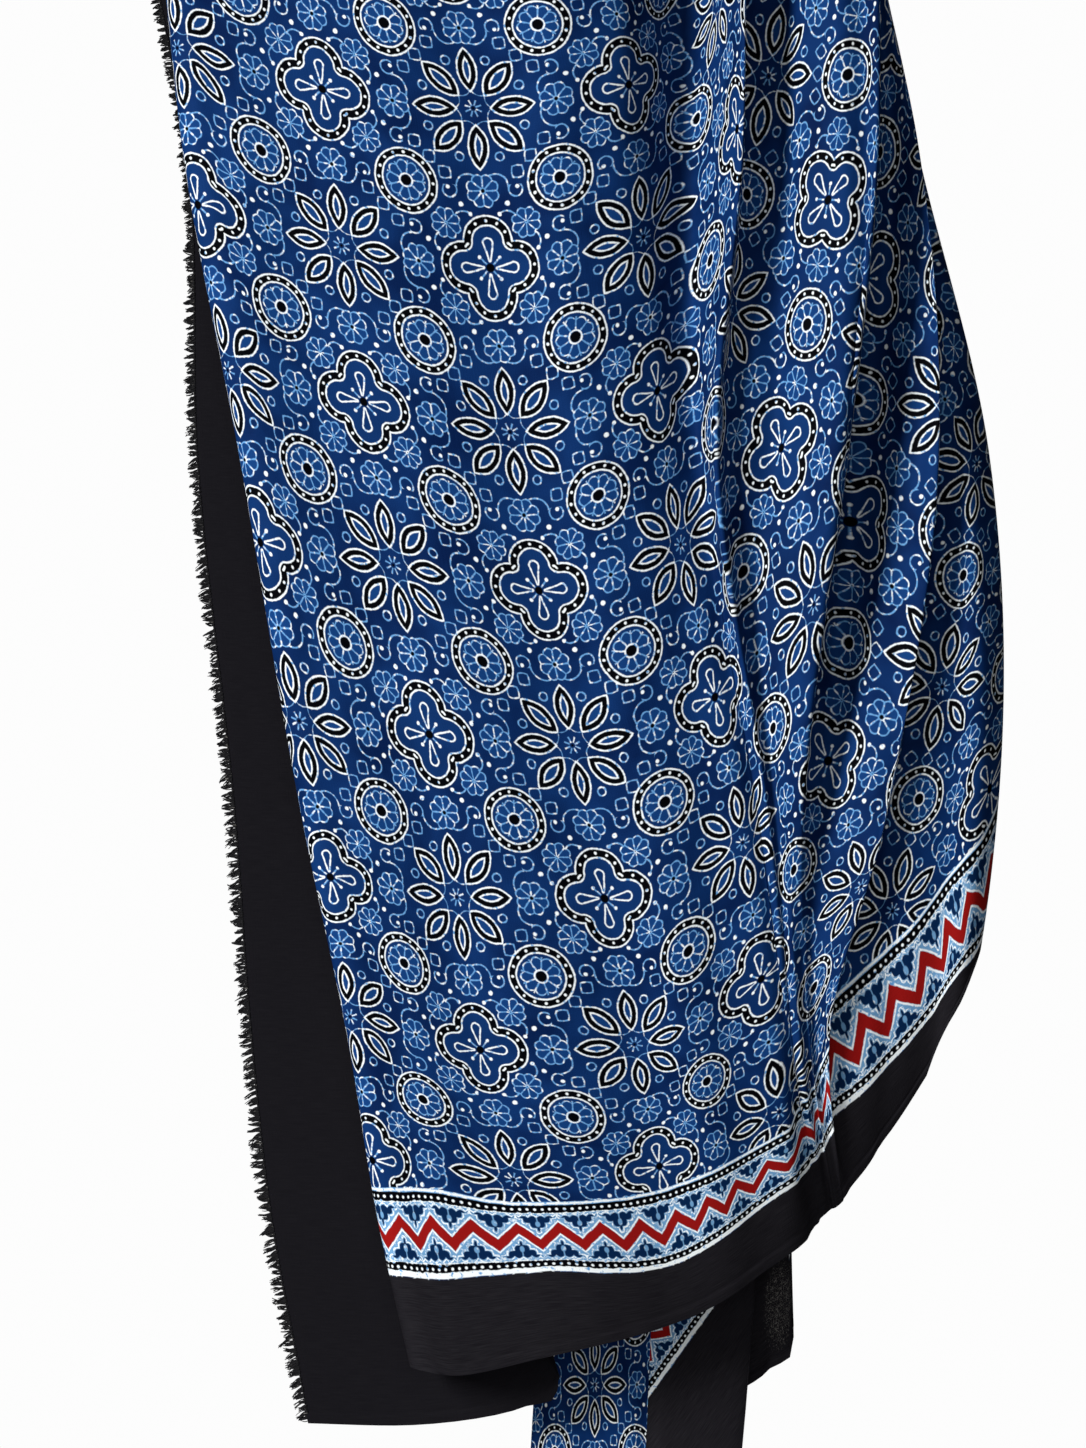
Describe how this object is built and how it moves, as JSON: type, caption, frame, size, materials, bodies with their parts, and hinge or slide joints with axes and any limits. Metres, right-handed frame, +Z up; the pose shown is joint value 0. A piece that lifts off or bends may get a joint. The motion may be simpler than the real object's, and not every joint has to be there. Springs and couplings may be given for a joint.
{
  "type": "hung block printed silk cloth",
  "caption": "Length of indigo block printed silk hung from its gathered top edge, folded back on itself, with a zigzag border, a plain black margin and end panel, and one frayed end.",
  "frame": {"origin": "middle of the top edge, on the front layer, where the cloth is held up", "axes": "+Z up, +X to the right as the front is seen, the front faces -Y"},
  "size_m": [0.6071, 0.1236, 1.075],
  "materials": {
    "printed_silk": "soft satin sheen, indigo block print with black, cream and red, plain black margin",
    "frayed_silk": "matt loose black yarns"
  },
  "bodies": {
    "root": {"printed_cloth": "printed_silk", "frayed_fringe": "frayed_silk"}
  },
  "joints": []
}
